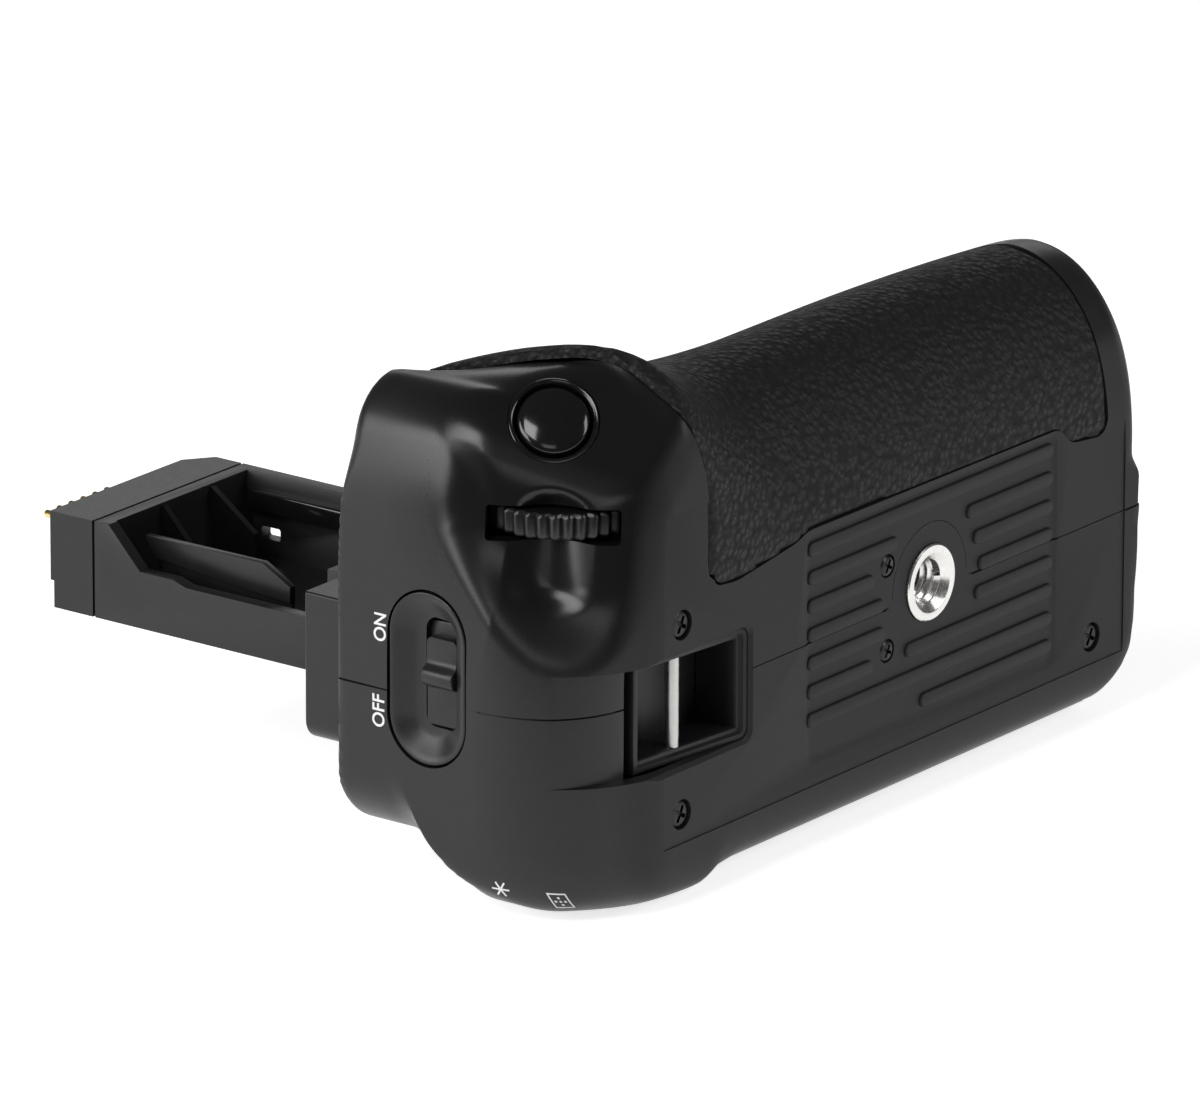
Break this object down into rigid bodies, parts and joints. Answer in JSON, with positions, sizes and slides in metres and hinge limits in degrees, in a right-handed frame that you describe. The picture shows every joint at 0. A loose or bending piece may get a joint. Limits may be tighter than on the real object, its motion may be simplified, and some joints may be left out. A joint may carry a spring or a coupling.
{
  "type": "camera battery grip",
  "caption": "Vertical battery grip for a compact camera: moulded hand grip with shutter button, dial, power switch, strap lug, battery drawer, mounting wheel and a stalk for the battery bay.",
  "frame": {"origin": "centre of the tripod socket at the tripod face", "axes": "+X along the grip away from the shutter end, +Y from the tripod face to the camera, +Z from the rear to the front of the grip"},
  "size_m": [0.1304, 0.1021, 0.0764],
  "materials": {
    "shell": "satin moulded",
    "rubber": "leather grain",
    "gloss": "polished",
    "inner": "moulded",
    "steel": "turned",
    "dark_steel": "blackened",
    "gold": "gold plated",
    "board": "board"
  },
  "bodies": {
    "grip": {"front_shell": "shell", "rear_shell": "shell", "switch_plate": "shell", "lug_frame": "shell", "stalk_collar": "shell", "stalk_housing": "shell", "stalk_head": "shell", "front_rubber": "rubber", "mating_pad": "rubber", "shutter_bezel": "gloss", "door_clip": "gloss", "inner_frame": "inner", "dial_bracket": "inner", "bay_contacts": "inner", "mount_plate": "steel", "locating_pin": "steel", "tripod_bush": "steel", "bush_plate": "steel", "bush_screws": "steel", "lug_bracket": "steel", "strap_bar": "steel", "dial_axle": "steel", "case_screws": "dark_steel", "control_board": "board", "thumb_board": "board", "shutter_switch": "board", "switch_body": "board"},
    "mount_drive": {"mount_screw": "steel", "mount_wheel": "shell"},
    "shutter": {"shutter_button": "gloss"},
    "dial": {"main_dial": "shell"},
    "power": {"power_switch": "shell"},
    "lock": {"lock_button": "gloss"},
    "focus": {"focus_button": "gloss"},
    "drawer": {"battery_drawer": "inner", "drawer_door": "shell", "drawer_contacts": "gold"},
    "latch": {"latch_knob": "gloss"},
    "ring": {"latch_ring": "steel"},
    "pin_1": {"contact_pin_1": "gold"},
    "pin_2": {"contact_pin_2": "gold"},
    "pin_3": {"contact_pin_3": "gold"},
    "pin_4": {"contact_pin_4": "gold"},
    "pin_5": {"contact_pin_5": "gold"},
    "pin_6": {"contact_pin_6": "gold"}
  },
  "joints": [
    {"name": "mount_turn", "type": "hinge", "parent": "grip", "child": "mount_drive", "pos_m": [0, 0.036, -0.003], "axis": [0, 1, 0], "continuous": true},
    {"name": "shutter_press", "type": "slide", "parent": "grip", "child": "shutter", "axis": [0.5825, 0.494, -0.6455], "range_m": [0, 0.0012], "stiffness_N_per_m": 800},
    {"name": "dial_turn", "type": "hinge", "parent": "grip", "child": "dial", "pos_m": [-0.06224, 0.01648, 0.0242], "axis": [0, 0, 1], "continuous": true},
    {"name": "power_slide", "type": "slide", "parent": "grip", "child": "power", "axis": [0, 0, 1], "range_m": [0, 0.0026]},
    {"name": "lock_press", "type": "slide", "parent": "grip", "child": "lock", "axis": [0, 0, 1], "range_m": [0, 0.0008], "stiffness_N_per_m": 1500},
    {"name": "focus_press", "type": "slide", "parent": "grip", "child": "focus", "axis": [0, 0, 1], "range_m": [0, 0.0008], "stiffness_N_per_m": 1500},
    {"name": "drawer_slide", "type": "slide", "parent": "grip", "child": "drawer", "axis": [0, 0, -1], "range_m": [0, 0.052]},
    {"name": "latch_turn", "type": "hinge", "parent": "drawer", "child": "latch", "pos_m": [-0.0386, 0.0174, -0.0292], "axis": [0, 0, 1], "range_deg": [0, 90]},
    {"name": "ring_fold", "type": "hinge", "parent": "latch", "child": "ring", "pos_m": [-0.0386, 0.0145, -0.02965], "axis": [-1, 0, 0], "range_deg": [0, 90]},
    {"name": "pin_press_1", "type": "slide", "parent": "grip", "child": "pin_1", "axis": [0, -1, 0], "range_m": [0, 0.0012], "stiffness_N_per_m": 300},
    {"name": "pin_press_2", "type": "slide", "parent": "grip", "child": "pin_2", "axis": [0, -1, 0], "range_m": [0, 0.0012], "stiffness_N_per_m": 300},
    {"name": "pin_press_3", "type": "slide", "parent": "grip", "child": "pin_3", "axis": [0, -1, 0], "range_m": [0, 0.0012], "stiffness_N_per_m": 300},
    {"name": "pin_press_4", "type": "slide", "parent": "grip", "child": "pin_4", "axis": [0, -1, 0], "range_m": [0, 0.0012], "stiffness_N_per_m": 300},
    {"name": "pin_press_5", "type": "slide", "parent": "grip", "child": "pin_5", "axis": [0, -1, 0], "range_m": [0, 0.0012], "stiffness_N_per_m": 300},
    {"name": "pin_press_6", "type": "slide", "parent": "grip", "child": "pin_6", "axis": [0, -1, 0], "range_m": [0, 0.0012], "stiffness_N_per_m": 300}
  ]
}
